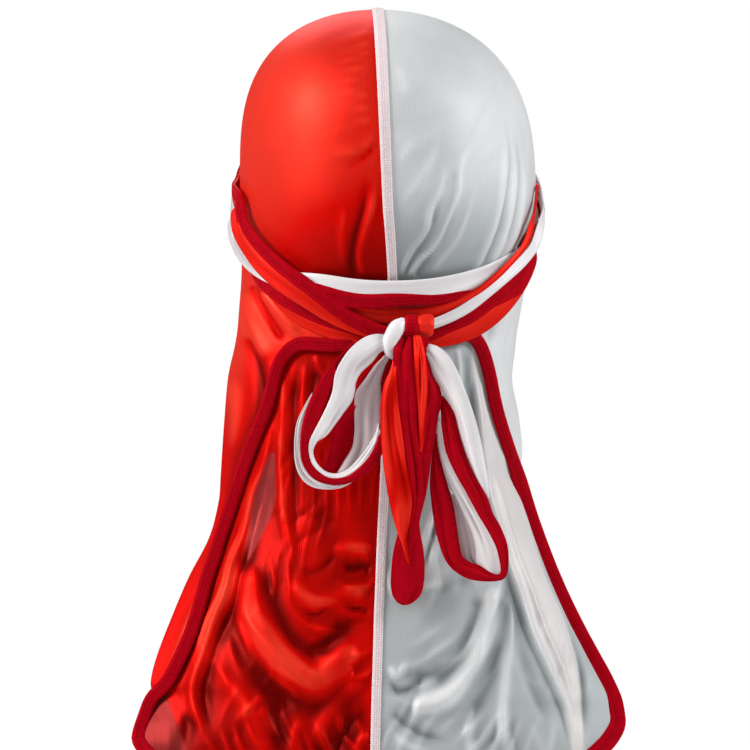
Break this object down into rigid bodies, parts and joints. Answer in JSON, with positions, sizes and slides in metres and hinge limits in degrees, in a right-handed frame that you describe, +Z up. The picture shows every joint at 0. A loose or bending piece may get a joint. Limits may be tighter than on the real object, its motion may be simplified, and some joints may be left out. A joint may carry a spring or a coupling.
{
  "type": "durag",
  "caption": "Two-colour satin durag with a centre seam, bound edges and a flared tail, its tie straps wrapped round the head and tied in a bow at the nape.",
  "frame": {"origin": "the inside of the crown at its top, where the head carries the wrap", "axes": "+X is the wearer's right, +Y the way the wearer faces, +Z up; the bow is on the -Y side"},
  "size_m": [0.2641, 0.2125, 0.4159],
  "materials": {
    "red_satin": "bright red satin with a soft sheen",
    "white_satin": "white satin with a soft sheen",
    "crimson_binding": "matte crimson knit tape",
    "white_seam_tape": "matte white stitched tape"
  },
  "bodies": {
    "root": {"panel_red": "red_satin", "panel_white": "white_satin", "center_seam": "white_seam_tape", "front_binding": "crimson_binding", "tail_binding_left": "crimson_binding", "tail_binding_right": "crimson_binding", "strap_red": "red_satin", "strap_white": "white_satin", "knot_white": "white_satin", "knot_red": "red_satin", "bow_loop_left": "white_satin", "bow_tail_middle": "red_satin", "bow_loop_right": "white_satin"}
  },
  "joints": []
}
